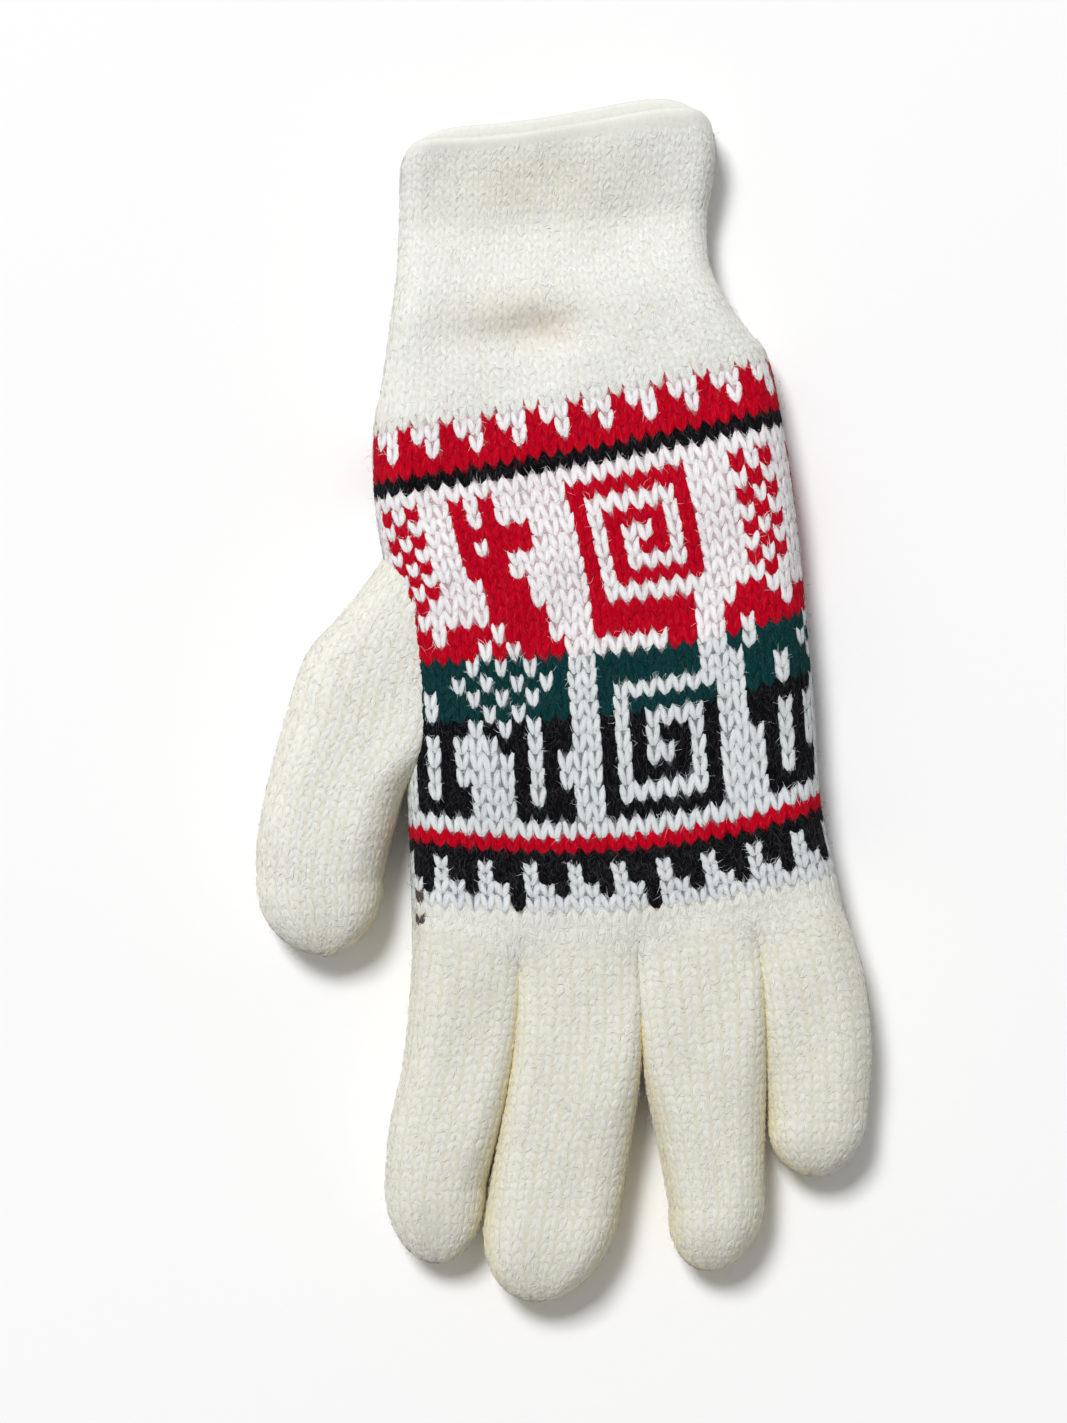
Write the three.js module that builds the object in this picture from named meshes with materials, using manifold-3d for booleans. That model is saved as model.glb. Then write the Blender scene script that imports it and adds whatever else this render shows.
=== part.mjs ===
// A knitted wool glove that lies flat, back of the hand up, in millimetres with +Z up.
// The wrist points along +Y, the fingertips along -Y, and the thumb lies on the -X side.
// Every piece is a hollow knitted tube, given by a table with one row for each section.
import * as THREE from "three";
import { mergeVertices } from "three/addons/utils/BufferGeometryUtils.js";
import Module from "manifold-3d";

// Driving dimensions
const PLAIN_WALL = 2.6; // one layer of plain knit in soft wool
const PATTERN_WALL = 3.0; // coloured knit, with spare yarn carried behind it
const GAP = 0.3; // clearance between neighbouring pieces
const TIP_STEPS = 5; // sections that round off a closed tip
const HAND_SIDES = 52;
const THUMB_SIDES = 28;
const FINGER_SIDES = 24;
const THINNEST_CORNER = 0.6;

// The mouth of the cuff: how much further the lower layer reaches on the left and on the right
const MOUTH_REACH = { middle: 0.65, slope: 0.45 };
// The dent across the cuff: where it is centred and how wide it is, in half widths
const DENT = { centre: -0.1, spread: 0.45 };

const OFF_WHITE = 0xe9e8e0;
const PATTERN_WHITE = 0xe1e3e6;
const IVORY = 0xe4e2d6;
const WOOL_ROUGHNESS = 0.95;

// Section columns. lx, ly and rx, ry are the left and right edges in plan; sag is how far the row of
// stitches bows towards the fingers, and skew shifts that bow to the right; height is the thickness
// of the tube there, crown how much its middle rises over its sides; left and right are the corner
// radii; dent is a hollow in the top; reach is how far the lower layer runs on at the mouth.
const COLUMNS = [
  "lx", "ly", "rx", "ry", "sag", "skew", "height", "crown", "left", "right", "dent", "reach",
];

const CUFF = rows([
  [-35.0, 122.8, 31.4, 127.6, 0.8, 0.8, 16.0, 0.5, 7.8, 7.8, 0.0, 4.6],
  [-35.9, 116.9, 33.0, 120.2, 0.9, 0.7, 15.0, 0.3, 7.4, 7.4, 0.0, 2.0],
  [-36.2, 108.8, 32.4, 112.2, 1.0, 0.5, 13.4, 0.0, 6.7, 6.7, 0.0, 0.0],
  [-36.4, 102.0, 31.4, 106.4, 1.0, 0.4, 14.6, 0.3, 7.2, 7.2, 0.0, 0.0],
  [-36.7, 94.8, 31.3, 100.0, 1.0, 0.3, 17.0, 1.0, 8.2, 8.2, 0.0, 0.0],
  [-37.4, 87.6, 31.9, 94.4, 1.0, 0.2, 16.6, 1.0, 8.2, 8.2, 0.6, 0.0],
  [-38.1, 82.8, 33.8, 90.0, 1.1, 0.1, 16.2, 0.6, 8.0, 8.0, 2.2, 0.0],
  [-38.8, 77.6, 35.7, 86.7, 1.1, 0.0, 16.8, 1.0, 8.2, 8.2, 0.8, 0.0],
  [-40.1, 68.6, 40.6, 80.2, 1.1, 0.0, 17.2, 1.2, 8.4, 8.4, 0.0, 0.0],
  [-41.6, 61.0, 43.8, 76.5, 1.2, 0.0, 17.6, 1.4, 8.6, 8.6, 0.0, 0.0],
]);

const HAND = rows([
  [-41.6, 61.0, 43.8, 76.5, 1.2, 0.0, 17.6, 1.4, 8.6, 8.6, 0.0, 0.0],
  [-41.6, 43.9, 47.7, 60.1, 1.2, 0.2, 18.6, 1.6, 9.0, 9.0, 0.0, 0.0],
  [-39.7, 31.5, 49.9, 45.9, 1.8, 2.0, 19.2, 2.0, 9.2, 9.2, 0.0, 0.0],
  [-36.8, 19.7, 51.5, 31.9, 2.4, 3.0, 19.4, 2.2, 9.4, 9.4, 0.0, 0.0],
  [-35.3, 7.9, 52.8, 17.9, 3.1, 3.9, 19.6, 2.2, 9.4, 9.4, 0.0, 0.0],
  [-34.6, -4.8, 54.1, 3.9, 4.2, 2.5, 19.6, 2.2, 9.4, 9.4, 0.0, 0.0],
  [-34.4, -17.5, 55.0, -9.8, 5.4, 0.5, 19.2, 2.0, 9.2, 9.2, 0.0, 0.0],
  [-34.0, -28.4, 55.8, -21.4, 6.3, -1.3, 19.0, 1.6, 9.2, 9.2, 0.0, 0.0],
  [-33.5, -42.4, 58.9, -35.8, 5.8, -1.8, 18.6, 1.0, 9.0, 9.0, 0.0, 0.0],
  [-33.3, -49.2, 60.9, -44.8, 5.2, -2.2, 18.4, 0.6, 9.0, 9.0, 0.0, 0.0],
]);

const THUMB = rows([
  [-37.0, 43.7, -24.0, 43.7, 0.0, 0.0, 14.0, 0.0, 7.0, 7.0, 0.0, 0.0],
  [-39.6, 31.5, -24.0, 30.6, 0.0, 0.0, 16.4, 0.3, 8.0, 8.0, 0.0, 0.0],
  [-48.6, 19.2, -24.5, 17.5, 0.0, 0.0, 17.6, 0.4, 8.6, 8.6, 0.0, 0.0],
  [-56.5, 9.8, -25.0, 2.2, 0.4, 0.0, 18.4, 0.6, 8.8, 8.8, 0.0, 0.0],
  [-60.9, -3.3, -26.5, -9.8, 0.6, 0.0, 18.8, 0.6, 9.0, 9.0, 0.0, 0.0],
  [-64.8, -17.5, -34.6, -19.7, 0.8, 0.0, 18.8, 0.6, 9.0, 9.0, 0.0, 0.0],
  [-67.2, -30.6, -37.2, -28.8, 0.8, 0.0, 18.4, 0.6, 8.8, 8.8, 0.0, 0.0],
  [-67.4, -41.0, -39.6, -38.9, 0.6, 0.0, 17.6, 0.4, 8.6, 8.6, 0.0, 0.0],
]);
const THUMB_TIP = { x: -52.3, y: -55.5 };

const INDEX = rows([
  [-33.3, -49.8, -10.1, -53.6, 0.3, 0.0, 18.2, 0.2, 9.0, 3.6, 0.0, 0.0],
  [-33.5, -59.6, -10.4, -63.6, 0.2, 0.0, 18.0, 0.3, 8.8, 6.0, 0.0, 0.0],
  [-35.3, -78.7, -12.0, -76.9, 0.0, 0.0, 17.8, 0.4, 8.6, 8.4, 0.0, 0.0],
  [-38.4, -94.2, -15.0, -92.2, 0.0, 0.0, 17.4, 0.4, 8.4, 8.4, 0.0, 0.0],
  [-39.4, -106.4, -17.4, -106.4, 0.0, 0.0, 16.8, 0.3, 8.2, 8.2, 0.0, 0.0],
]);
const INDEX_TIP = { x: -27.9, y: -123.2 };

const MIDDLE = rows([
  [-9.7, -53.6, 15.6, -52.9, 0.4, 0.0, 18.6, 0.1, 3.6, 3.6, 0.0, 0.0],
  [-9.7, -65.3, 16.0, -65.1, 0.2, 0.0, 18.6, 0.4, 6.0, 6.0, 0.0, 0.0],
  [-11.3, -82.4, 16.1, -80.8, 0.0, 0.0, 18.6, 0.4, 8.8, 8.8, 0.0, 0.0],
  [-14.2, -97.7, 14.7, -96.1, 0.0, 0.0, 18.2, 0.4, 8.8, 8.8, 0.0, 0.0],
  [-17.4, -112.4, 12.1, -112.4, 0.0, 0.0, 17.6, 0.4, 8.6, 8.6, 0.0, 0.0],
]);
const MIDDLE_TIP = { x: -5.9, y: -131.5 };

const RING = rows([
  [16.0, -52.9, 41.2, -49.0, 0.4, 0.0, 18.6, 0.1, 3.6, 3.6, 0.0, 0.0],
  [16.6, -64.8, 42.7, -62.3, 0.2, 0.0, 18.4, 0.4, 6.0, 6.0, 0.0, 0.0],
  [18.0, -82.0, 43.6, -78.7, 0.0, 0.0, 18.2, 0.4, 8.8, 8.8, 0.0, 0.0],
  [20.4, -97.6, 43.6, -95.6, 0.0, 0.0, 17.6, 0.4, 8.6, 8.6, 0.0, 0.0],
  [22.8, -110.8, 43.9, -110.6, 0.0, 0.0, 16.8, 0.3, 8.2, 8.2, 0.0, 0.0],
]);
const RING_TIP = { x: 31.8, y: -124.8 };

const LITTLE = rows([
  [41.6, -49.0, 61.0, -45.6, 0.2, 0.0, 18.0, 0.2, 3.6, 8.8, 0.0, 0.0],
  [43.4, -63.0, 65.3, -59.4, 0.1, 0.0, 17.8, 0.3, 6.0, 8.6, 0.0, 0.0],
  [44.4, -78.7, 67.2, -76.9, 0.0, 0.0, 17.4, 0.4, 8.4, 8.4, 0.0, 0.0],
  [44.6, -91.0, 66.2, -91.8, 0.0, 0.0, 16.8, 0.3, 8.2, 8.2, 0.0, 0.0],
]);
const LITTLE_TIP = { x: 54.2, y: -104.2 };

function rows(lines) {
  return lines.map((line) => ({
    ...Object.fromEntries(COLUMNS.map((name, i) => [name, line[i]])),
    lift: 0,
  }));
}

// The section halfway between two others.
function halfway(a, b) {
  return Object.fromEntries(Object.keys(a).map((name) => [name, (a[name] + b[name]) / 2]));
}

// A point on a rectangle with rounded corners, centred on the origin, at a share of its
// perimeter counted from the middle of the left side over the top.
function outlinePoint(halfWidth, height, left, right, share) {
  const half = height / 2;
  const top = 2 * halfWidth - left - right;
  const quarter = Math.PI / 2;
  const pieces = [
    [half - left, (d) => [-halfWidth, d]],
    [quarter * left, (d) => turn(-halfWidth + left, half - left, left, Math.PI - d / left)],
    [top, (d) => [-halfWidth + left + d, half]],
    [quarter * right, (d) => turn(halfWidth - right, half - right, right, quarter - d / right)],
    [height - 2 * right, (d) => [halfWidth, half - right - d]],
    [quarter * right, (d) => turn(halfWidth - right, right - half, right, -d / right)],
    [top, (d) => [halfWidth - right - d, -half]],
    [quarter * left, (d) => turn(-halfWidth + left, left - half, left, -quarter - d / left)],
    [half - left, (d) => [-halfWidth, left - half + d]],
  ];
  let along = share * pieces.reduce((sum, [length]) => sum + length, 0);
  for (const [length, at] of pieces) {
    if (along <= length) return at(along);
    along -= length;
  }
  return [-halfWidth, 0];
}

function turn(x, z, radius, angle) {
  return [x + radius * Math.cos(angle), z + radius * Math.sin(angle)];
}

// The ring of points of one section, moved inwards by inset.
function ring(row, inset, sides) {
  const width = Math.hypot(row.rx - row.lx, row.ry - row.ly);
  const halfWidth = width / 2 - inset;
  const height = row.height - 2 * inset;
  const most = Math.min(halfWidth, height / 2) * 0.98;
  const left = THREE.MathUtils.clamp(row.left - inset, THINNEST_CORNER, most);
  const right = THREE.MathUtils.clamp(row.right - inset, THINNEST_CORNER, most);
  const points = [];
  for (let i = 0; i < sides; i++) {
    const [x, z] = outlinePoint(halfWidth, height, left, right, i / sides);
    const across = (2 * x) / width;
    const level = z / height + 0.5;
    const dome = 1 - across * across;
    const bow = (row.sag + row.skew * across) * dome;
    const reach = row.reach * (MOUTH_REACH.middle + MOUTH_REACH.slope * across) * (1 - level);
    const dent = row.dent * Math.exp(-(((across - DENT.centre) / DENT.spread) ** 2));
    const share = 0.5 + x / width;
    points.push([
      row.lx + (row.rx - row.lx) * share,
      row.ly + (row.ry - row.ly) * share - bow + reach,
      row.lift + inset + height / 2 + z + Math.max(0, 2 * level - 1) * (row.crown * dome - dent),
    ]);
  }
  return points;
}

// The sections that close a tube in an elliptical dome, from its last row to its tip.
function tipRows(last, tip, inset) {
  const cx = (last.lx + last.rx) / 2;
  const cy = (last.ly + last.ry) / 2;
  const length = Math.hypot(tip.x - cx, tip.y - cy);
  const reach = (length - inset) / length;
  const made = [];
  for (let i = 1; i <= TIP_STEPS; i++) {
    const angle = (Math.PI / 2) * (i / (TIP_STEPS + 0.6));
    const size = Math.cos(angle);
    const dx = (tip.x - cx) * reach * Math.sin(angle);
    const dy = (tip.y - cy) * reach * Math.sin(angle);
    const inner = (last.height / 2 - inset) * size + inset;
    const halfWidth = Math.hypot(last.rx - last.lx, last.ry - last.ly) / 2;
    const wide = ((halfWidth - inset) * size + inset) / halfWidth;
    made.push({
      ...last,
      lx: cx + (last.lx - cx) * wide + dx,
      rx: cx + (last.rx - cx) * wide + dx,
      ly: cy + (last.ly - cy) * wide + dy,
      ry: cy + (last.ry - cy) * wide + dy,
      height: 2 * inner,
      left: last.left * size + inset,
      right: last.right * size + inset,
      crown: last.crown * size,
      lift: last.height / 2 - inner,
    });
  }
  return made;
}

function tipPoint(last, tip, inset) {
  const cx = (last.lx + last.rx) / 2;
  const cy = (last.ly + last.ry) / 2;
  const reach = 1 - inset / Math.hypot(tip.x - cx, tip.y - cy);
  return [cx + (tip.x - cx) * reach, cy + (tip.y - cy) * reach, last.height / 2];
}

// One layer of a tube: its rings, and the point that closes it where it has a tip.
function layer(table, tip, inset, sides) {
  const all = tip ? [...table, ...tipRows(table[table.length - 1], tip, inset)] : table;
  const closing = tip ? tipPoint(table[table.length - 1], tip, inset) : null;
  return { rings: all.map((row) => ring(row, inset, sides)), closing };
}

// A closed surface from points and triangles, turned so that its faces point out.
function surface(points, faces) {
  let volume = 0;
  for (const [a, b, c] of faces) {
    const [p, q, r] = [a, b, c].map((i) => new THREE.Vector3(...points[i]));
    volume += p.dot(q.cross(r));
  }
  const outward = volume < 0 ? faces.map(([a, b, c]) => [a, c, b]) : faces;
  const geometry = new THREE.BufferGeometry();
  geometry.setAttribute("position", new THREE.Float32BufferAttribute(points.flat(), 3));
  geometry.setIndex(outward.flat());
  geometry.computeVertexNormals();
  return geometry;
}

// Joins two rings of the same number of points, given by the index of their first point.
function band(faces, first, second, sides) {
  for (let i = 0; i < sides; i++) {
    const j = (i + 1) % sides;
    faces.push([first + i, first + j, second + j], [first + i, second + j, second + i]);
  }
}

function fan(faces, first, centre, sides) {
  for (let i = 0; i < sides; i++) faces.push([first + i, first + ((i + 1) % sides), centre]);
}

// A hollow tube with open ends, or with one closed tip.
function tube(table, tip, wall, sides) {
  const outer = layer(table, tip, 0, sides);
  const inner = layer(table, tip, wall, sides);
  const points = [...outer.rings.flat(), ...inner.rings.flat()];
  const count = outer.rings.length;
  const faces = [];
  const backwards = [];
  for (let i = 0; i + 1 < count; i++) {
    band(faces, i * sides, (i + 1) * sides, sides);
    band(backwards, (count + i) * sides, (count + i + 1) * sides, sides);
  }
  band(backwards, 0, count * sides, sides);
  if (tip) {
    points.push(outer.closing, inner.closing);
    fan(faces, (count - 1) * sides, points.length - 2, sides);
    fan(backwards, (2 * count - 1) * sides, points.length - 1, sides);
  } else {
    band(faces, (count - 1) * sides, (2 * count - 1) * sides, sides);
  }
  return surface(points, [...faces, ...backwards.map(([a, b, c]) => [a, c, b])]);
}

// The space that a tube takes up, filled in and grown by the given clearance.
function filled(table, tip, inset, sides) {
  const { rings, closing } = layer(table, tip, inset, sides);
  const points = rings.flat();
  const faces = [];
  for (let i = 0; i + 1 < rings.length; i++) band(faces, i * sides, (i + 1) * sides, sides);
  points.push(middleOf(rings[0]), closing ?? middleOf(rings[rings.length - 1]));
  fan(faces, (rings.length - 1) * sides, points.length - 1, sides);
  const start = [];
  fan(start, 0, points.length - 2, sides);
  return surface(points, [...faces, ...start.map(([a, b, c]) => [a, c, b])]);
}

function middleOf(points) {
  return [0, 1, 2].map((axis) => points.reduce((sum, p) => sum + p[axis], 0) / points.length);
}

const wasm = await Module();
wasm.setup();

function solidOf(geometry) {
  const bare = geometry.clone();
  bare.deleteAttribute("normal");
  const merged = mergeVertices(bare, 1e-4);
  return new wasm.Manifold(
    new wasm.Mesh({
      numProp: 3,
      vertProperties: merged.attributes.position.array,
      triVerts: new Uint32Array(merged.index.array),
    }),
  );
}

// The largest single body of a solid, as a geometry.
function geometryOf(solid) {
  const bodies = solid.decompose();
  const largest = bodies.reduce((a, b) => (a.volume() > b.volume() ? a : b));
  const mesh = largest.getMesh();
  const geometry = new THREE.BufferGeometry();
  geometry.setAttribute("position", new THREE.BufferAttribute(mesh.vertProperties, 3));
  geometry.setIndex(new THREE.BufferAttribute(mesh.triVerts, 1));
  geometry.computeVertexNormals();
  return geometry;
}

function named(name, colour, geometry) {
  const material = new THREE.MeshStandardMaterial({
    color: colour,
    roughness: WOOL_ROUGHNESS,
    metalness: 0,
  });
  const mesh = new THREE.Mesh(geometry, material);
  mesh.name = name;
  return mesh;
}

// The cuff stops short of the hand by the gap, along the last row of its stitches.
function cuff() {
  const table = CUFF.map((row) => ({ ...row }));
  const last = table[table.length - 1];
  last.ly += GAP;
  last.ry += GAP;
  return named("cuff", OFF_WHITE, tube(table, null, PLAIN_WALL, HAND_SIDES));
}

// The hand is open at the wrist and at the fingers, with a hole in its side for the thumb.
function hand() {
  const sleeve = solidOf(tube(HAND, null, PATTERN_WALL, HAND_SIDES));
  const hole = solidOf(filled(THUMB, THUMB_TIP, PLAIN_WALL, THUMB_SIDES));
  return named("hand", PATTERN_WHITE, geometryOf(sleeve.subtract(hole)));
}

// The thumb starts as a gusset in the side of the hand, which trims it.
function thumb() {
  const whole = solidOf(tube(THUMB, THUMB_TIP, PLAIN_WALL, THUMB_SIDES));
  const room = solidOf(filled(HAND, null, -GAP, HAND_SIDES));
  return named("thumb", IVORY, geometryOf(whole.subtract(room)));
}

// A finger with a section between each two of its table, and a closed tip.
function finger(name, table, tip) {
  const fine = table.flatMap((row, i) => (i ? [halfway(table[i - 1], row), row] : [row]));
  return named(name, IVORY, tube(fine, tip, PLAIN_WALL, FINGER_SIDES));
}

const glove = new THREE.Group();
glove.name = "wool_glove";
glove.add(cuff(), hand(), thumb());
glove.add(finger("index_finger", INDEX, INDEX_TIP));
glove.add(finger("middle_finger", MIDDLE, MIDDLE_TIP));
glove.add(finger("ring_finger", RING, RING_TIP));
glove.add(finger("little_finger", LITTLE, LITTLE_TIP));

export default glove;
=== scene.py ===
"""The looks of a knitted wool glove that lies flat: every stitch is modelled, on knitted walls.

Lengths are in millimetres until a mesh is made, which is in metres, in the frame's own axes.
"""

import math

import bpy
import numpy as np
from mathutils.kdtree import KDTree
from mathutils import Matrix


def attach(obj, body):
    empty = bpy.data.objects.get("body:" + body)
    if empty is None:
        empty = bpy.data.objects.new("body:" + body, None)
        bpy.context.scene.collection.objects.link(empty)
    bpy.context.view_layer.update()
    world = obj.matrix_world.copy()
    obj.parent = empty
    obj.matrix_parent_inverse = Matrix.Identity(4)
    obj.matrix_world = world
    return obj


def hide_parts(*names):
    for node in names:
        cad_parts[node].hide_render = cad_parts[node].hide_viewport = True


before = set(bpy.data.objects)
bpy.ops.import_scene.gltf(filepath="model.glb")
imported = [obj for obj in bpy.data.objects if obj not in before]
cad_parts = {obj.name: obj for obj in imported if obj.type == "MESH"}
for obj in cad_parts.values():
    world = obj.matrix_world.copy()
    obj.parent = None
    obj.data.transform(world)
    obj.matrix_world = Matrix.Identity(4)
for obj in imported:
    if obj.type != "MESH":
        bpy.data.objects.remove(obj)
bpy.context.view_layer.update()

MM = 0.001
BODY = "root"

# The photo's frame: its height, as a real size where the glove lies, and its middle
VIEW_HEIGHT = 310.9
VIEW_CENTRE = (-6.8, -2.5)
VIEW_LEVEL = 10
LENS = 100
SENSOR = 36
FLOOR_LEVEL = -0.35
FLOOR_SIZE = 4000
FLOOR_COLOUR = (0.92, 0.92, 0.92, 1)

# The light, in metres and watts, and the strength of the light from all round
KEY_PLACE = (-1.6, 2.8, 4.9)
KEY_SIZE = 1.6
KEY_POWER = 297
STUDIO_GLOW = 0.33

# Section columns, much as in the part's source: left and right edge in plan, how far the row of
# stitches bows towards the fingers, thickness, crown, corner radii, how much of the bow lies to the
# right, and how far the lower layer runs on at the mouth. The last two are 0 where left out.
LX, LY, RX, RY, SAG, HEIGHT, CROWN, LEFT, RIGHT, SKEW, REACH = range(11)

CUFF = [
    [-34.6, 123.5, 31.8, 130, 2.3, 16.2, 0.5, 6.4, 6, -3.2, 5.2],
    [-35.9, 117.9, 33, 122.6, 1.6, 15.2, 0.3, 6, 5.4, -1.2, 2.4],
    [-36.2, 109.4, 32.4, 113.4, 1.1, 13.6, 0, 5.8, 5, 0.2],
    [-36.4, 102.2, 31.4, 106.8, 1, 12.6, 0.2, 5.8, 5, 0.4],
    [-36.7, 94.8, 31.3, 100, 1, 14.2, 0.6, 6.2, 5.4, 0.3],
    [-37.4, 87.6, 31.9, 94.4, 1, 16.4, 0.8, 6.8, 5.8, 0.2],
    [-38.1, 82.8, 33.8, 90, 1.1, 17.4, 0.8, 7, 6.2, 0.1],
    [-38.8, 77.6, 35.7, 86.7, 1.1, 17.6, 1, 7.4, 6.8],
    [-40.1, 68.6, 40.6, 80.2, 1.1, 17.6, 1.2, 8, 7.6],
]
HAND = [
    [-41.6, 61, 43.8, 76.5, 1.2, 17.6, 1.4, 8.6, 8.6],
    [-41.6, 43.9, 47.7, 60.1, 1.2, 18.6, 1.6, 9, 9, 0.2],
    [-39.7, 31.5, 49.9, 45.9, 1.8, 19.2, 2, 9.2, 9.2, 2],
    [-36.8, 19.7, 51.5, 31.9, 2.4, 19.4, 2.2, 9.4, 9.4, 3],
    [-35.3, 5.6, 52.8, 17.9, 3.6, 19.6, 2.2, 9.4, 9.4, 2.4],
    [-34.6, -7, 54.1, 3.9, 4.2, 19.6, 2.2, 9.4, 9.4, 1],
    [-34.4, -18, 55, -9.8, 5.4, 19.2, 2, 9.2, 9.2, 0.5],
    [-34, -28.4, 55.8, -21.4, 5.6, 19, 1.6, 9.2, 9.2, 0.5],
    [-33.5, -42.4, 58.9, -35.8, 4.6, 18.6, 1, 9, 9, 0.6],
    [-33.3, -49.2, 60.9, -44.8, 5.2, 18.4, 0.6, 9, 9, -2.2],
]
THUMB = [
    [-37, 43.7, -24, 43.7, 0, 14, 0, 7, 7],
    [-39.6, 31.5, -24, 30.6, 0, 16.4, 0.3, 8, 8],
    [-48.6, 19.2, -24.5, 17.5, 0, 17.6, 0.4, 8.6, 8.6],
    [-56.5, 9.8, -25, 2.2, 0.4, 18.4, 0.6, 8.8, 8.8],
    [-60.9, -3.3, -26.5, -9.8, 0.6, 18.8, 0.6, 9, 9],
    [-64.8, -17.5, -34.6, -19.7, 0.8, 18.8, 0.6, 9, 9],
    [-67.2, -30.6, -37.2, -28.8, 0.8, 18.4, 0.6, 8.8, 8.8],
    [-67.4, -41, -39.6, -38.9, 0.6, 17.6, 0.4, 8.6, 8.6],
]
INDEX = [
    [-33.3, -49.8, -9.4, -53.6, 0.3, 18.4, 0.4, 8.6, 0.6],
    [-33.5, -59.6, -9.3, -63.6, 0.2, 18, 0.4, 8.4, 3.6],
    [-35.3, -78.7, -10.8, -76.9, 0, 17.8, 0.4, 8.2, 5.2],
    [-38.4, -94.2, -13.7, -92.2, 0, 17.4, 0.4, 8, 6.4],
    [-39.4, -106.4, -17.2, -106.4, 0, 16.8, 0.3, 8, 7.8],
]
MIDDLE = [
    [-10.2, -53.6, 16.2, -52.9, 0.4, 18.6, 0.4, 0.6, 0.6],
    [-10.4, -65.3, 16.8, -65.1, 0.2, 18.6, 0.4, 3.6, 2.6],
    [-12.1, -82.4, 16.6, -80.8, 0, 18.6, 0.4, 5.4, 5],
    [-14.9, -97.7, 14.7, -96.1, 0, 18.2, 0.4, 6.6, 7.8],
    [-17.5, -112.4, 12.1, -112.4, 0, 17.6, 0.4, 8.4, 8.4],
]
RING = [
    [15.4, -52.9, 41.8, -49, 0.4, 18.6, 0.4, 0.6, 0.6],
    [15.8, -64.8, 43.5, -62.3, 0.2, 18.4, 0.4, 2.6, 3.6],
    [17.3, -82, 44.2, -78.7, 0, 18.2, 0.4, 5.8, 6],
    [20.4, -97.6, 43.9, -95.6, 0, 17.6, 0.4, 8.2, 8.2],
    [22.8, -110.8, 43.9, -110.6, 0, 16.8, 0.3, 8, 8],
]
LITTLE = [
    [41, -49, 61, -45.6, 0.2, 18.4, 0.2, 0.6, 8.4],
    [42.6, -63, 65.3, -59.4, 0.1, 17.8, 0.3, 3.6, 8.2],
    [43.6, -78.7, 67.2, -76.9, 0, 17.4, 0.4, 6, 8],
    [44.4, -91, 66.2, -91.8, 0, 16.8, 0.3, 8, 8],
]
MOUTH_EASE = 0.6  # of REACH, by which the corners of the mouth are rounded in plan
PLAIN_WALL = 2.6
PATTERN_WALL = 3
THINNEST_CORNER = 0.6
ROUNDEST = 0.98  # corner, against the half thickness
NEAREST_TIP = 0.995  # of the way to a round tip

# The knitting. Rows count from the rim of the cuff to the fingers, and wales, as chart columns,
# round the tube from its left edge over the top.
CUFF_ROWS = 28
PLAIN_ROW = 2.12
HAND_ROWS = (28, 33, 37, 41.4, 45.6, 49.8, 53.3, 56.4, 61.6, 64.1)  # where its sections lie
WALES = 63
# The chart column at the left edge of the sleeve, at the sections of the hand
LEFT_EDGE = (-14.4, -14.5, -14.9, -15.1, -15.1, -15.1, -15.2, -15.3, -15.3, -15.3)
ROLL_ROWS = 2  # rows that turn over the rim of the cuff
INNER_ROWS = 4  # rows of stitches seen inside the mouth
STEP = 0.05  # of a row or wale, for slopes

# Closed tubes: their table, tip in plan, wales, and the chart column at their left edge
CLOSED = {
    "thumb": (THUMB, (-52.3, -55.5), 28, 0),
    "index_finger": (INDEX, (-27.9, -123.2), 21, -15.3),
    "middle_finger": (MIDDLE, (-5.9, -131.5), 24, -9),
    "ring_finger": (RING, (31.8, -124.8), 22, -0.5),
    "little_finger": (LITTLE, (54.2, -104.2), 20, 6.2),
}
# Whether more wool lies close to the left and to the right of each tube
NEAR_WOOL = {
    "thumb": (0, 1), "index_finger": (0, 1), "middle_finger": (1, 1), "ring_finger": (1, 1),
    "little_finger": (1, 0), "sleeve": (0, 0),
}

# The coloured pattern, one line for each row: R, G and K are red, green and black wool, and a dot
# is the white ground. The teeth repeat over 3 wales, and the figures over 24.
FIRST_PATTERN_ROW = 29
DARK_ROW = 45  # from here on the floats behind the white are green or black
IVORY_ROW = 62  # from here on the sleeve is plain again
LAST_ROW = 65  # and here it runs under the first rows of the fingers
FIRST_COLUMN = -15
TOP_TEETH = (".R.", ".RR", "RRR", "KKK", "...")
BOTTOM_TEETH = ("...", "RRR", "KKK", ".KK", ".KK", "..K", "...")
FIGURES = """
..R.R..R.R.....RRRRRRRR.
...R...R.R.....R......R.
..R.R..RRRRR...R.RRRR.R.
...R...R.RRR...R.R..R.R.
..R.R..RRR.....R.R.RR.R.
...R...RRR.....R.R....R.
..R.R...RRR....R.RRRRRR.
...R....RRR....R........
.RR.....RRRR...RRRRRRR..
RRRR.RRR.RRR...RRRRRRR..
R.RRRRR.R.RRR.......RR..
G.GGGG.G.G.GG..GGGGGGG..
.GGGG.G.G.G.G..GGGGGGG..
.GG.GG.G.G.GG..G........
.GG.GGG.G.GGG..G.GGGGGG.
.KKKKK.K.K.KK..K.K....K.
.KK.K...KK.KK..K.K.KK.K.
..K.K....K.K...K.K..K.K.
..K.K....K.K...K.KKKK.K.
..K.KK...K.KK..K......K.
..KKKK...KKKK..KKKKKKKK.
""".split()

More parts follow.
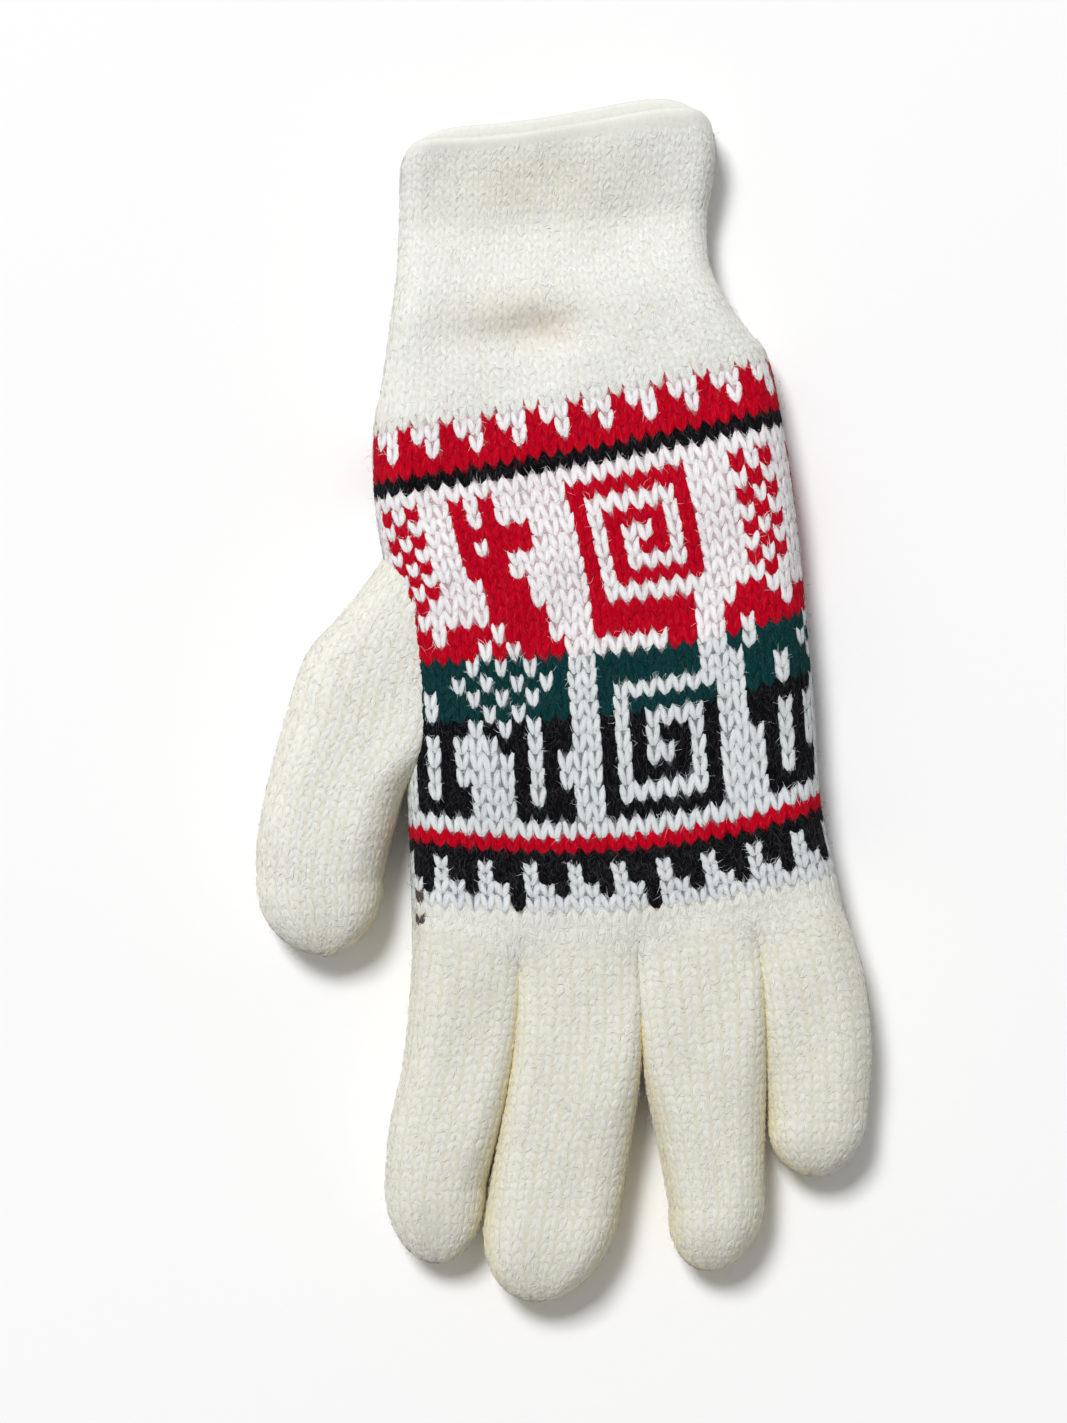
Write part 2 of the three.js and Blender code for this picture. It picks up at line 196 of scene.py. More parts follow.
# Wools: the colour as seen; its colour in the crevices between stitches, which is painted shade,
# and for the white ground partly the floats behind it; and that of its loose fibres, painted paler
# than the yarn as a highlight. A colon is the white ground over green or black floats, which darken
# it.
WOOLS = {
    "ivory": ((221, 221, 211), (216, 215, 202), (252, 252, 246)),
    "pale ivory": ((228, 228, 221), (224, 223, 213), (254, 254, 250)),
    "off-white": ((228, 229, 224), (224, 224, 217), (254, 254, 252)),
    ".": ((244, 241, 242), (190, 176, 181), (252, 251, 251)),
    ":": ((226, 230, 231), (132, 139, 142), (248, 249, 250)),
    "R": ((190, 0, 30), (162, 0, 24), (206, 6, 46)),
    "G": ((8, 52, 54), (6, 42, 44), (38, 86, 86)),
    "K": ((12, 12, 16), (8, 8, 11), (66, 66, 68)),
    "knot": ((96, 80, 80), (60, 50, 50), (110, 96, 96)),
}
SEEN, CREVICE_AND_PAINTED_SHADE, LOOSE_PAINTED_HIGHLIGHT = range(3)
# Materials: sheen, low and high tone of the yarn, how much its pale fibres show, and relief
LOOKS = {
    "off_white_wool": (0.4, 0.95, 1.03, 0, 0.25),
    "patterned_wool": (0.02, 0.86, 1.08, 0.3, 0.6),
    "ivory_wool": (0.4, 0.95, 1.03, 0, 0.25),
}
BLEED = 0.1  # how much of a row's other colour shows in the holes between white stitches
LONG_TEETH = {(61, -7), (61, 2)}  # stitches that make two of the lower teeth longer
KNOTS = {(61, -14), (63, -14)}  # stitches where the end of a dark yarn shows through
PAINTED_HOLE_SHADE = (216, 208, 184)  # painted shade of plain wool in the small holes between its stitches
PAINTED_SIDE_SHADE = (238, 222, 156)  # painted warm shade of plain wool where it turns to the side and faces more wool
EDGE_PAINTED_SHADE = 0.22  # how much of the painted shade the sides of the tubes take
GAP_PAINTED_SHADE = 0.9  # and the sides between two fingers
PAINTED_SHADE_CURVE = 1.5  # how late it comes as the wool turns to the side

# One leg of a stitch from end to end: how far each line of it is from the middle of its wale, in
# wales, and along the row, in rows, its height in mm, half width in wales, half thickness in mm
PATTERN_LEG = [
    [0.47, -0.36, -0.42, 0.00, 0.00],
    [0.43, -0.10, -0.10, 0.15, 0.22],
    [0.33, 0.30, 0.02, 0.25, 0.33],
    [0.21, 0.76, 0.04, 0.25, 0.34],
    [0.12, 1.10, -0.04, 0.18, 0.27],
    [0.05, 1.32, -0.28, 0.00, 0.00],
]
PLAIN_LEG = [
    [0.46, -0.34, -0.30, 0.00, 0.00],
    [0.42, -0.06, -0.08, 0.16, 0.20],
    [0.34, 0.32, 0.00, 0.25, 0.27],
    [0.23, 0.74, 0.01, 0.25, 0.27],
    [0.14, 1.08, -0.05, 0.17, 0.21],
    [0.09, 1.30, -0.24, 0.00, 0.00],
]
PRESSED = 0.86  # how wide a white stitch is with colour on all its sides, against a full one
RING_ANGLES = np.radians([-5, 60, 120, 185])
# How much of the painted crevice shade each line of a leg and each point of a ring takes: a leg
# is painted darker at its ends and sides, where it dips under its neighbours
LINE_PAINTED_SHADE = np.array([0.9, 0.45, 0.06, 0, 0.15, 0.6])
RING_PAINTED_SHADE = np.array([0.6, 0.05, 0.05, 0.6])
FIRST_RELIEF = 1.2  # the row at which the wall starts to show its stitches
# How much the yarn strays: a stitch across, in wales, and up, in mm, a leg along its column, in
# rows, and each line of a leg across and in thickness
STRAY_ACROSS, STRAY_UP, STRAY_ALONG, STRAY_LINE, STRAY_THICK = 0.04, 0.03, 0.05, 0.025, 0.07
PAINTED_SHADE_RANGE = (0.6, 1.4)  # of the painted crevice shade, at random from leg to leg
TONE_SPREAD = 0.012  # of their brightness
STRAND_TURNS = (5.5, 2.5)  # of the pattern of fibres, round a leg and along it
STRAND_LENGTH = 2.4  # of a leg in it
STRAND_SHIFT = 50  # and how far apart two legs can be
MAP_MARGIN = 0.08  # round each grain in its cell of the map
HALVINGS = (0.62, 0.3)  # sizes of a round tip's section at which its wales are halved
POINT_REACH = 0.4  # how far the point of a stitch reaches into the next row, and its arms back
ARM_REACH = 0.15
BLEED_REACH = 3  # how many stitches away another colour still bleeds

# Depths from the outside of the knit
PATTERN_YARN = 0.36  # of the middle of its yarn
PLAIN_YARN = 0.33
RIM_YARN = 0.42
PATTERN_BACK = 0.2  # the wall that backs the stitches
PLAIN_BACK = 0.14
RIM_BACK = 0.08  # in the rim and the inside of the cuff, where the stitches hardly show
WALL_GRAIN = (1.3, 0.6, 0.8)  # of the wall's own fibres, for each mm
FELT_SCALE = 2400  # of the felt on all wool, for each metre, and its height in metres
FELT_HEIGHT = 0.0004
# How much deeper the wall lies between two wales and in the middle of a stitch
PATTERN_RELIEF = (0.12, 0.12)
PLAIN_RELIEF = (0.05, 0.05)
# Rows and depths where a wall dives under the next one
CUFF_JOIN = ((28.9, 0.8), (28.4, 0.4), (27.9, 0.2))
HAND_JOIN = ((27.2, 0.8), (27.7, 0.4), (28.2, 0.2))
HAND_END = ((64.5, 0.2), (65.1, 0.5), (65.7, 1.0))
FINGER_JOIN = ((-1.6, 1.0), (-1.0, 0.5), (-0.4, 0.2))
JOIN_SINKS = 0.03  # how much deeper each of the hand's last three rows lies
THUMB_ROW = 24  # the first that the thumb can meet
THUMB_RINGS = 24  # of the space that its hole is cut with
THUMB_ROOT = 1.2  # how deep in the hand its wall ends
THUMB_HIDES = 1.6  # how deep in the thumb a stitch of the hand is left out
HAND_HIDES = 1  # how deep in the hand a stitch of the thumb is left out

# Fibres that lie on the yarn and others that stand off it: how many for each stitch, length and
# thickness, how far they stray from its direction in radians, and how high the first lie over it
LEG_SLANT = 0.38
PATTERN_FIBRES = ((9, 2.6, 0.09, 0.7, 0.07), (2, 2.6, 0.06, 3, 0))
CUFF_FIBRES = ((5, 1.8, 0.15, 0.4, 0.04), (1, 2.4, 0.06, 3, 0))
FINGER_FIBRES = ((5, 1.6, 0.14, 0.7, 0.1), (1, 2.4, 0.06, 3, 0))
FIBRE_SPREAD, SHORTEST, LONGEST = 0.35, 0.4, 2  # lengths, against the middle one
FIBRE_GIRTHS = (0.7, 1.3)  # against their thickness
FIBRE_TONES = (0.9, 1.02)
FIBRE_ROOT = 0.3  # how deep those that stand start, and the slopes of their two halves
LOWER_SLOPES = (0.3, 1.2)
UPPER_SLOPES = (-0.5, 0.5)
FIBRE_ENDS = 0.2  # how far those that lie dip at their start
FIBRES_HIDE = 0.2  # how deep in another tube they are left out

# How much the shading of each yarn follows that of the whole knitting, as in a fuzz of fibres
PATTERN_SOFTNESS = 0.8
PLAIN_SOFTNESS = 1
FIBRE_SOFTNESS = 5

# Soft bumps of the surface: height in mm, and radians for each mm along x and y
BUMPS = ((0.34, 0.13, 0.05), (0.28, -0.07, 0.16), (0.2, 0.27, -0.19), (0.14, 0.36, 0.31))
BUMP_PHASE = 9  # how far they are shifted, in radians for each mm of height

# Dimples in the top: depth, place, spread across and along, in mm, and slant
DIMPLES = (
    (2.5, -9, 79.2, 15, 4.8, 0.1),
    (1.5, -8, 72, 15, 9.5, 0.1),
    (0.7, -9.9, -59, 2.4, 5),
    (0.6, 16, -58, 2.2, 6),
    (0.7, 41.8, -55, 2.4, 5),
)
# Soft stains and painted shade on the top: place, spread across and along, and what is left of the
# colour. The first darkens the dent, partly a real stain and partly its painted shade; the second is
# a faint pink stain in it; the third is painted shade in the hollow band across the cuff
STAINS_AND_PAINTED_SHADE = (
    (-10, 83, 13, 5, (0.93, 0.89, 0.83)),
    (-3.5, 80.5, 4.5, 3, (1.0, 0.94, 0.92)),
    (-5, 112, 24, 10, (0.97, 0.96, 0.92)),
)


def linear(colour):
    """A colour seen as 0 to 255, as the shares of light that a surface gives back."""
    c = np.array(colour, float) / 255
    return np.where(c > 0.04045, ((c + 0.055) / 1.055) ** 2.4, c / 12.92)


def unit(vectors):
    return vectors / np.maximum(np.linalg.norm(vectors, axis=-1, keepdims=True), 1e-9)


def outline(half_width, height, left, right, share):
    """Points on rounded rectangles about the origin, at shares of their perimeters counted from
    the middle of the left side over the top."""
    half = height / 2
    top = 2 * half_width - left - right
    quarter = math.pi / 2
    lengths = np.stack([half - left, quarter * left, top, quarter * right, half - right])
    ends = np.cumsum(lengths, axis=0)
    share = share % 1
    below = share > 0.5
    along = np.where(below, 1 - share, share) * 2 * ends[-1]
    piece = np.minimum((along > ends).sum(axis=0), len(lengths) - 1)
    d = along - np.take_along_axis(ends - lengths, piece[None], axis=0)[0]

    def turned(cx, radius, angle):
        return cx + radius * np.cos(angle), half - radius + radius * np.sin(angle)

    choices = [
        (-half_width, d),
        turned(left - half_width, left, math.pi - d / left),
        (left - half_width + d, half),
        turned(half_width - right, right, quarter - d / right),
        (half_width, half - right - d),
    ]
    x, z = (np.choose(piece, [np.broadcast_to(v, d.shape) for v in part]) for part in zip(*choices))
    return x, np.where(below, -z, z)


def bumps(x, y):
    """The height of soft bumps at a place in plan."""
    return sum(high * np.sin(over * x + along * y + BUMP_PHASE * high) for high, over, along in BUMPS)


def spot(x, y, at_x, at_y, across, along, slant=0):
    """A soft spot in plan: 1 at its middle, and near 0 far from it."""
    u = (x - at_x) / across
    v = (y - at_y - slant * (x - at_x)) / along
    return np.exp(-u * u - v * v)


def dimples(x, y):
    """The depth of the dimples at a place in plan."""
    return sum(deep * spot(x, y, *place) for deep, *place in DIMPLES)


def full(table):
    """A table of sections with all its columns."""
    return np.array([[*line, *[0] * (REACH + 1 - len(line))] for line in table], float)


def width_of(q):
    """The widths in plan of sections."""
    return np.hypot(q[:, RX] - q[:, LX], q[:, RY] - q[:, LY])


class Tube:
    """A tube through sections that lie at given rows of knitting, with a round tip if it has one."""

    def __init__(self, table, rows, wall, tip=None, tip_rows=0):
        self.table = full(table)
        self.rows = np.array(rows, float)
        self.slopes = np.gradient(self.table, self.rows, axis=0)
        self.wall = wall
        self.tip = tip
        self.tip_rows = tip_rows

    def section(self, row, inset):
        """The section columns at each row and how far its outline is lifted off the floor."""
        last = len(self.rows) - 1
        inside = np.clip(row, self.rows[0], self.rows[last])
        k = np.clip(np.searchsorted(self.rows, inside, side="right") - 1, 0, last - 1)
        span = (self.rows[k + 1] - self.rows[k])[:, None]
        t = (inside - self.rows[k])[:, None] / span
        made = (
            self.table[k] * (1 + 2 * t) * (1 - t) ** 2
            + self.slopes[k] * span * t * (1 - t) ** 2
            + self.table[k + 1] * t * t * (3 - 2 * t)
            + self.slopes[k + 1] * span * t * t * (t - 1)
        )
        beyond = row - inside
        if self.tip:
            beyond = np.minimum(beyond, 0)
        end = np.where(beyond > 0, last, 0)
        made[:, :REACH] += (self.slopes[end] * beyond[:, None])[:, :REACH]
        lift = np.zeros(len(row))
        if self.tip:
            self.round_off(made, lift, np.broadcast_to(inset, row.shape), row)
        return made, lift

    def round_off(self, made, lift, inset, row):
        """Shrinks the sections past the last row into an elliptical dome that ends at the tip."""
        turn = (row - self.rows[-1]) / self.tip_rows
        past = turn > 0
        angle = np.minimum(turn[past], NEAREST_TIP) * math.pi / 2
        size, inset = np.cos(angle), inset[past]
        q = made[past]
        cx, cy = (q[:, LX] + q[:, RX]) / 2, (q[:, LY] + q[:, RY]) / 2
        length = np.hypot(self.tip[0] - cx, self.tip[1] - cy)
        reach = (1 - inset / length) * np.sin(angle)
        half_width = width_of(q) / 2
        wide = ((half_width - inset) * size + inset) / half_width
        inner = (q[:, HEIGHT] / 2 - inset) * size + inset
        lift[past] = q[:, HEIGHT] / 2 - inner
        for edge, centre, tip in ((LX, cx, 0), (RX, cx, 0), (LY, cy, 1), (RY, cy, 1)):
            q[:, edge] = centre + (q[:, edge] - centre) * wide + (self.tip[tip] - centre) * reach
        for corner in (LEFT, RIGHT):
            q[:, corner] = q[:, corner] * size + inset
        q[:, HEIGHT] = 2 * inner
        q[:, CROWN] *= size
        made[past] = q

    def point(self, row, share, inset=0.0):
        """Points at rows of knitting and shares of the way round, moved inwards by inset."""
        q, lift = self.section(row, inset)
        width = width_of(q)
        half_width = width / 2 - inset
        height = q[:, HEIGHT] - 2 * inset
        most = np.minimum(half_width, height / 2) * ROUNDEST
        least = np.minimum(THINNEST_CORNER, most)
        left = np.clip(q[:, LEFT] - inset, least, most)
        right = np.clip(q[:, RIGHT] - inset, least, most)
        x, z = outline(half_width, height, left, right, share)
        across = 2 * x / width
        level = z / height + 0.5
        dome = 1 - across * across
        bow = (q[:, SAG] + q[:, SKEW] * across) * dome
        reach = q[:, REACH] * ((1 - level) * (1 - across ** 6) - MOUTH_EASE * across ** 8)
        along = 0.5 + x / width
        upper = np.maximum(0, 2 * level - 1)
        x = q[:, LX] + (q[:, RX] - q[:, LX]) * along
        y = q[:, LY] + (q[:, RY] - q[:, LY]) * along - bow + reach
        rise = upper * (q[:, CROWN] * dome - dimples(x, y)) + level * bumps(x, y)
        return np.stack([x, y, lift + inset + height / 2 + z + rise], axis=1)


class Knit:
    """The outside of a tube as rows and wales of knitting, which may turn in over a rim."""

    def __init__(self, tube, wales, edge, rim=False):
        self.tube = tube
        self.wales = wales
        self.edge = edge
        self.rim = rim

    def columns(self, step=0.5):
        """Columns all the way round, from the left edge."""
        return self.edge(0.0) + np.arange(0, self.wales, step)

    def smooth(self, row, column, depth):
        return self.tube.point(row, (column - self.edge(row)) / self.wales, depth)

    def point(self, row, column, depth=0.0):
        """Points at rows and columns, at a depth under the surface of the knitting. Rows below 0
        turn over the rim and then run on inside the tube."""
        depth = np.broadcast_to(depth, row.shape)
        points = self.smooth(np.maximum(row, 0) if self.rim else row, column, depth)
        if not self.rim:
            return points
        rolled = (row < 0) & (row > -ROLL_ROWS)
        inside = row <= -ROLL_ROWS
        if rolled.any():
            c = column[rolled]
            zero = np.zeros(len(c))
            half = self.tube.wall / 2
            centre = self.smooth(zero, c, np.full(len(c), half))
            along = unit(self.smooth(zero + 1, c, zero) - self.smooth(zero, c, zero))
            out = unit(self.smooth(zero, c, zero) - centre)
            turn = (-row[rolled] / ROLL_ROWS * math.pi)[:, None]
            radius = (half - depth[rolled])[:, None]
            points[rolled] = centre + radius * (out * np.cos(turn) - along * np.sin(turn))
        if inside.any():
            back = -row[inside] - ROLL_ROWS
            points[inside] = self.smooth(back, column[inside], self.tube.wall - depth[inside])
        return points

    def lie(self, row, column):
        """Points on the surface, their normals, and the size of a wale there."""
        down = self.point(row + STEP, column) - self.point(row - STEP, column)
        over = self.point(row, column + STEP) - self.point(row, column - STEP)
        wale = np.linalg.norm(over, axis=1) / (2 * STEP)
        return self.point(row, column), unit(np.cross(down, over)), wale


def row_numbers(table, pitch):
    """The rows at which sections lie, if rows are a pitch apart along the middle of the tube."""
    t = full(table)
    middle = (t[:, [LX, LY]] + t[:, [RX, RY]]) / 2
    steps = np.linalg.norm(np.diff(middle, axis=0), axis=1)
    return np.concatenate([[0], np.cumsum(steps)]) / pitch


def make_sleeve():
    """The cuff and the hand as one tube, from the rim to where the fingers start."""
    cuff = row_numbers([*CUFF, HAND[0]], 1)
    start = -PLAIN_WALL / 2 / PLAIN_ROW
    cuff_rows = start + cuff * (CUFF_ROWS - start) / cuff[-1]
    tube = Tube([*CUFF, *HAND], [*cuff_rows[:-1], *HAND_ROWS], PLAIN_WALL)
    return Knit(tube, WALES, lambda row: np.interp(row, HAND_ROWS, LEFT_EDGE), rim=True)


def make_closed(table, tip, wales, first):
    """A finger or thumb, whose rows start at its base."""
    rows = row_numbers(table, PLAIN_ROW)
    last = np.array(table[-1])
    far = math.hypot(tip[0] - (last[LX] + last[RX]) / 2, tip[1] - (last[LY] + last[RY]) / 2)
    arc = math.pi / 2 * math.sqrt((far ** 2 + (last[HEIGHT] / 2) ** 2) / 2)
    tube = Tube(table, rows, PLAIN_WALL, tip, arc / PLAIN_ROW)
    return Knit(tube, wales, lambda row: first)


def chart(row, column):
    """The wool of one stitch of the sleeve."""
    if (row, column) in KNOTS:
        return "knot"
    if (row, column) in LONG_TEETH:
        return "K"
    r = row - FIRST_PATTERN_ROW
    if r < 0:
        return "off-white"
    for band in (TOP_TEETH, FIGURES, BOTTOM_TEETH):
        if r < len(band):
            wool = band[r][(column - FIRST_COLUMN) % len(band[0])]
            return ":" if wool == "." and row >= DARK_ROW else wool
        r -= len(band)
    return "pale ivory"


def shades(wools, kind):
    """One of the three colours of each wool in a list."""
    table = {name: linear(colours[kind]) for name, colours in WOOLS.items()}
    return np.array([table[name] for name in wools])


def wall_colours(rows, columns):
    """The colours of the sleeve's wall, which shows a little in the holes between its stitches: each
    wool's crevice colour, which is painted shade, with some of the floats behind.
    """
    made = []
    for row, column in zip(rows, columns):
        # The point of a stitch reaches into the next row, and its arms reach back
        middle = column % 1 == 0.5
        start = math.floor(row - POINT_REACH if middle else row + ARM_REACH)
        at = min(max(start, 0), LAST_ROW - 1)
        near = [math.floor(column)] if middle else [round(column) - 1, round(column)]
        names = [chart(at, c) for c in near]
        wool = next((name for name in names if name in "RGK"), names[0])
        # Painted shade: the wall takes its wool's darker crevice colour
        colour = linear(WOOLS[wool][CREVICE_AND_PAINTED_SHADE])
        around = range(near[0] - BLEED_REACH, near[0] + BLEED_REACH + 1)
        others = [name for name in (chart(at, c) for c in around) if name in "RGK"]
        if wool in ".:" and others:
            colour = colour * (1 - BLEED) + linear(WOOLS[others[0]][SEEN]) * BLEED
        made.append(colour)
    return np.array(made)


def grain(sides, rings):
    """Triangles of a grain and their corners in its cell of a map: an end, some rings of points,
    and the other end."""
    faces, corners = [], []

    def number(ring, i):
        return min(1 + (ring - 1) * sides + i % sides, 1 + rings * sides) if ring else 0

    def add(*places):
        faces.append([number(ring, i) for ring, i in places])
        corners.append([(i / sides, ring / (rings + 1)) for ring, i in places])

    for i in range(sides):
        add((0, i + 0.5), (1, i), (1, i + 1))
        for ring in range(1, rings):
            add((ring, i), (ring + 1, i + 1), (ring, i + 1))
            add((ring, i), (ring + 1, i), (ring + 1, i + 1))
        add((rings, i), (rings + 1, i + 0.5), (rings, i + 1))
    return np.array(faces), np.array(corners)


def on_grain(first, middle, last):
    """Values at the points of a leg: its two ends, and the rings between them."""
    return np.concatenate([[first], np.ravel(middle), [last]])


def grain_strands():
    """Where each point of a leg lies in the pattern of its fibres, which wind round the yarn."""
    along = np.linspace(0, 1, LINES)
    n = len(RING_ANGLES)
    around = on_grain(0.5, np.tile(np.linspace(0, 1, n), LINES - 2), 0.5)
    along = on_grain(along[0], np.repeat(along[1:-1], n), along[-1])
    return STRAND_TURNS[0] * around + STRAND_TURNS[1] * along, STRAND_LENGTH * along


LINES = len(PLAIN_LEG)
LEG = grain(len(RING_ANGLES), LINES - 2)
LEG_PAINTED_SHADES = on_grain(
    LINE_PAINTED_SHADE[0], np.maximum(LINE_PAINTED_SHADE[1:-1, None], RING_PAINTED_SHADE), LINE_PAINTED_SHADE[-1]
)
LEG_STRANDS = grain_strands()
FIBRE = grain(3, 1)


def legs(knit, row, column, span, patterned, slim, depth, wool, deep, rng):
    """Both legs of many stitches, as grains. Row, column and span place each stitch; patterned
    is 1 for the shape of coloured knitting and 0 for plain; depth is that of the yarn. Gives
    points, colours, strands and the normals of the knitting."""
    n = len(row)
    blend = patterned[:, None, None]
    path = np.array(PATTERN_LEG) * blend + np.array(PLAIN_LEG) * (1 - blend)
    off, along, lift, wide, high = np.moveaxis(path, 2, 0)
    off, wide = off * slim[:, None], wide * slim[:, None]
    shift = rng.normal(0, STRAY_ACROSS, (n, 1))
    rise = rng.normal(0, STRAY_UP, (n, 1))
    made = []
    for side in (-1, 1):
        lean = rng.normal(0, STRAY_LINE, off.shape)
        c = column[:, None] + span[:, None] * (0.5 + shift + side * (off + lean))
        r = row[:, None] + along + rng.normal(0, STRAY_ALONG, (n, 1))
        at, normal, wale = knit.lie(r.ravel(), c.ravel())
        at, normal = at.reshape(n, -1, 3), normal.reshape(n, -1, 3)
        wale = wale.reshape(n, -1) * span[:, None]
        fat = rng.normal(1, STRAY_THICK, off.shape)
        centre = at + normal * (lift + rise - depth[:, None])[..., None]
        forward = unit(np.gradient(centre, axis=1))
        across = unit(np.cross(forward, normal))
        up = unit(np.cross(across, forward))
        breadth = (wide * fat * wale)[:, 1:-1, None] * np.cos(RING_ANGLES)
        thickness = (high * fat)[:, 1:-1, None] * np.sin(RING_ANGLES)
        rings = (
            centre[:, 1:-1, None]
            + across[:, 1:-1, None] * breadth[..., None]
            + up[:, 1:-1, None] * thickness[..., None]
        )
        rings = rings.reshape(n, -1, 3)
        points = np.concatenate([centre[:, :1], rings, centre[:, -1:]], axis=1)
        # Painted shade: each leg takes its wool's crevice colour at its ends and sides
        shade = np.clip(LEG_PAINTED_SHADES * rng.uniform(*PAINTED_SHADE_RANGE, (n, 1)), 0, 1)[..., None]
        bright = rng.normal(1, TONE_SPREAD, (n, 1, 1))
        colour = (wool[:, None] * (1 - shade) + deep[:, None] * shade) * bright
        strand = np.empty((n, points.shape[1], 3))
        strand[..., 0], strand[..., 1] = LEG_STRANDS
        strand[..., 2] = rng.uniform(0, STRAND_SHIFT, (n, 1))
        around = np.repeat(normal[:, 1:-1], len(RING_ANGLES), axis=1)
        lay = np.concatenate([normal[:, :1], around, normal[:, -1:]], axis=1)
        made.append((points, colour, strand, lay))
    return [np.concatenate(parts) for parts in zip(*made)]


def with_stains_and_painted_shade(points, colours):
    """Colours at points, with the stains and the painted shade on the top."""
    x, y, z = points.T
    for *place, left in STAINS_AND_PAINTED_SHADE:
        share = (spot(x, y, *place) * (z > VIEW_LEVEL))[:, None]
        colours = colours * (1 - share + share * np.array(left))
    return colours


def add_object(name, data):
    made = bpy.data.objects.new(name, data)
    bpy.context.scene.collection.objects.link(made)
    return made


def put(items, name, values, kind=np.float32):
    """Sets a property of all items from an array."""
    items.foreach_set(name, np.asarray(values, dtype=kind).ravel())


def taken(items, name, kind=float):
    """A property of all items, of three numbers each, as an array."""
    values = np.empty(len(items) * 3, dtype=kind)
    items.foreach_get(name, values)
    return values.reshape(-1, 3)


def add_mesh(name, points, faces, colours, strands, lay=None, corners=None):
    """A mesh object from arrays in millimetres, with its colours and strands as attributes. Its
    shading leans towards the lay, if there is one."""
    # Stains, and painted shade in the dent and in the hollow band of the cuff
    colours = with_stains_and_painted_shade(points, colours)
    mesh = bpy.data.meshes.new(name)
    mesh.vertices.add(len(points))
    put(mesh.vertices, "co", points * MM)
    mesh.loops.add(faces.size)
    put(mesh.loops, "vertex_index", faces, np.int32)
    mesh.polygons.add(len(faces))
    put(mesh.polygons, "loop_start", np.arange(0, faces.size, 3), np.int32)
    put(mesh.polygons, "use_smooth", np.ones(len(faces)), bool)
    mesh.update(calc_edges=True)
    opaque = np.concatenate([colours, np.ones((len(colours), 1))], axis=1)
    put(mesh.attributes.new("wool_colour", "FLOAT_COLOR", "POINT").data, "color", opaque)
    put(mesh.attributes.new("strand", "FLOAT_VECTOR", "POINT").data, "vector", strands)
    if corners is not None:
        put(mesh.uv_layers.new(name="OFBake").data, "uv", corners)
    mesh.validate()
    if lay is not None:
        normals = taken(mesh.vertex_normals, "vector", np.float32) + lay
        mesh.normals_split_custom_set_from_vertices(unit(normals).tolist())
    return add_object(name, mesh)


def add_grains(name, kind, soft, points, colours, strands, lay):
    """One mesh of many grains of a kind, each with its own cell in the map of the surface. The
    softer they are, the more their shading follows the whole knitting."""
    triangles, places = kind
    count, size = points.shape[:2]
    faces = (np.arange(count)[:, None, None] * size + triangles).reshape(-1, 3)
    across = math.ceil(math.sqrt(count))
    cell = np.stack([np.arange(count) % across, np.arange(count) // across], axis=1)
    inner = places * (1 - 2 * MAP_MARGIN) + MAP_MARGIN
    corners = (cell[:, None, None] + inner) / across
    flat = [values.reshape(-1, 3) for values in (points, colours, strands, lay * soft)]
    return add_mesh(name, flat[0], faces, *flat[1:], corners)


def crossed(rows, columns):
    """Every row with every column, as two flat arrays."""
    return [grid.ravel() for grid in np.meshgrid(rows, columns, indexing="ij")]


def sleeve_stitches(first, last):
    """Rows, columns and spans of the sleeve's stitches from one row up to another. None show on
    the rolled rim."""
    rows = np.arange(first, last)
    rows = rows[(rows < -ROLL_ROWS) | (rows > 0)]
    rows, columns = crossed(rows, np.arange(FIRST_COLUMN, FIRST_COLUMN + WALES))
    return rows, columns, np.ones(len(rows))


def closed_stitches(knit):
    """Rows, columns and spans of a finger's stitches, with fewer wales at its tip."""
    straight = knit.tube.rows[-1]
    total = round(straight + knit.tube.tip_rows)
    made = []
    for row in range(-1, total):
        turn = (row + 0.5 - straight) / knit.tube.tip_rows
        size = math.cos(max(0, min(turn, 1)) * math.pi / 2)
        halved = sum(size <= limit for limit in HALVINGS)
        count = max(4, round(knit.wales / 2 ** halved))
        span = knit.wales / count
        columns = knit.edge(row) + span * np.arange(count)
        made.append((np.full(count, row), columns, np.full(count, span)))
    return [np.concatenate(parts) for parts in zip(*made)]


def fill(tree, node, **values):
    """Gives a node's inputs a value or a link, by name, or by number after an underscore."""
    for name, value in values.items():
        key = int(name[1:]) if name[1:].isdigit() else name.replace("_", " ")
        if isinstance(value, bpy.types.NodeSocket):
            tree.links.new(value, node.inputs[key])
        else:
            node.inputs[key].default_value = value


def camera():
    lens = bpy.data.cameras.new("camera")
    lens.lens = LENS
    lens.sensor_fit = "VERTICAL"
    lens.sensor_height = lens.sensor_width = SENSOR
    lens.clip_start, lens.clip_end = 0.01, 20.0
    made = add_object("camera", lens)
    height = VIEW_LEVEL + VIEW_HEIGHT * LENS / SENSOR
    made.location = [v * MM for v in (*VIEW_CENTRE, height)]
    bpy.context.scene.camera = made


def floor():
    half = FLOOR_SIZE * MM / 2
    z = FLOOR_LEVEL * MM
    mesh = bpy.data.meshes.new("floor")
    mesh.from_pydata(
        [(-half, -half, z), (half, -half, z), (half, half, z), (-half, half, z)], [], [(0, 1, 2, 3)]
    )
    material = bpy.data.materials.new("floor")
    material.use_nodes = True
    tree = material.node_tree
    shader = tree.nodes["Principled BSDF"]
    fill(tree, shader, Base_Color=FLOOR_COLOUR, Roughness=0.9, Specular_IOR_Level=0.1)
    mesh.materials.append(material)
    add_object("floor", mesh)


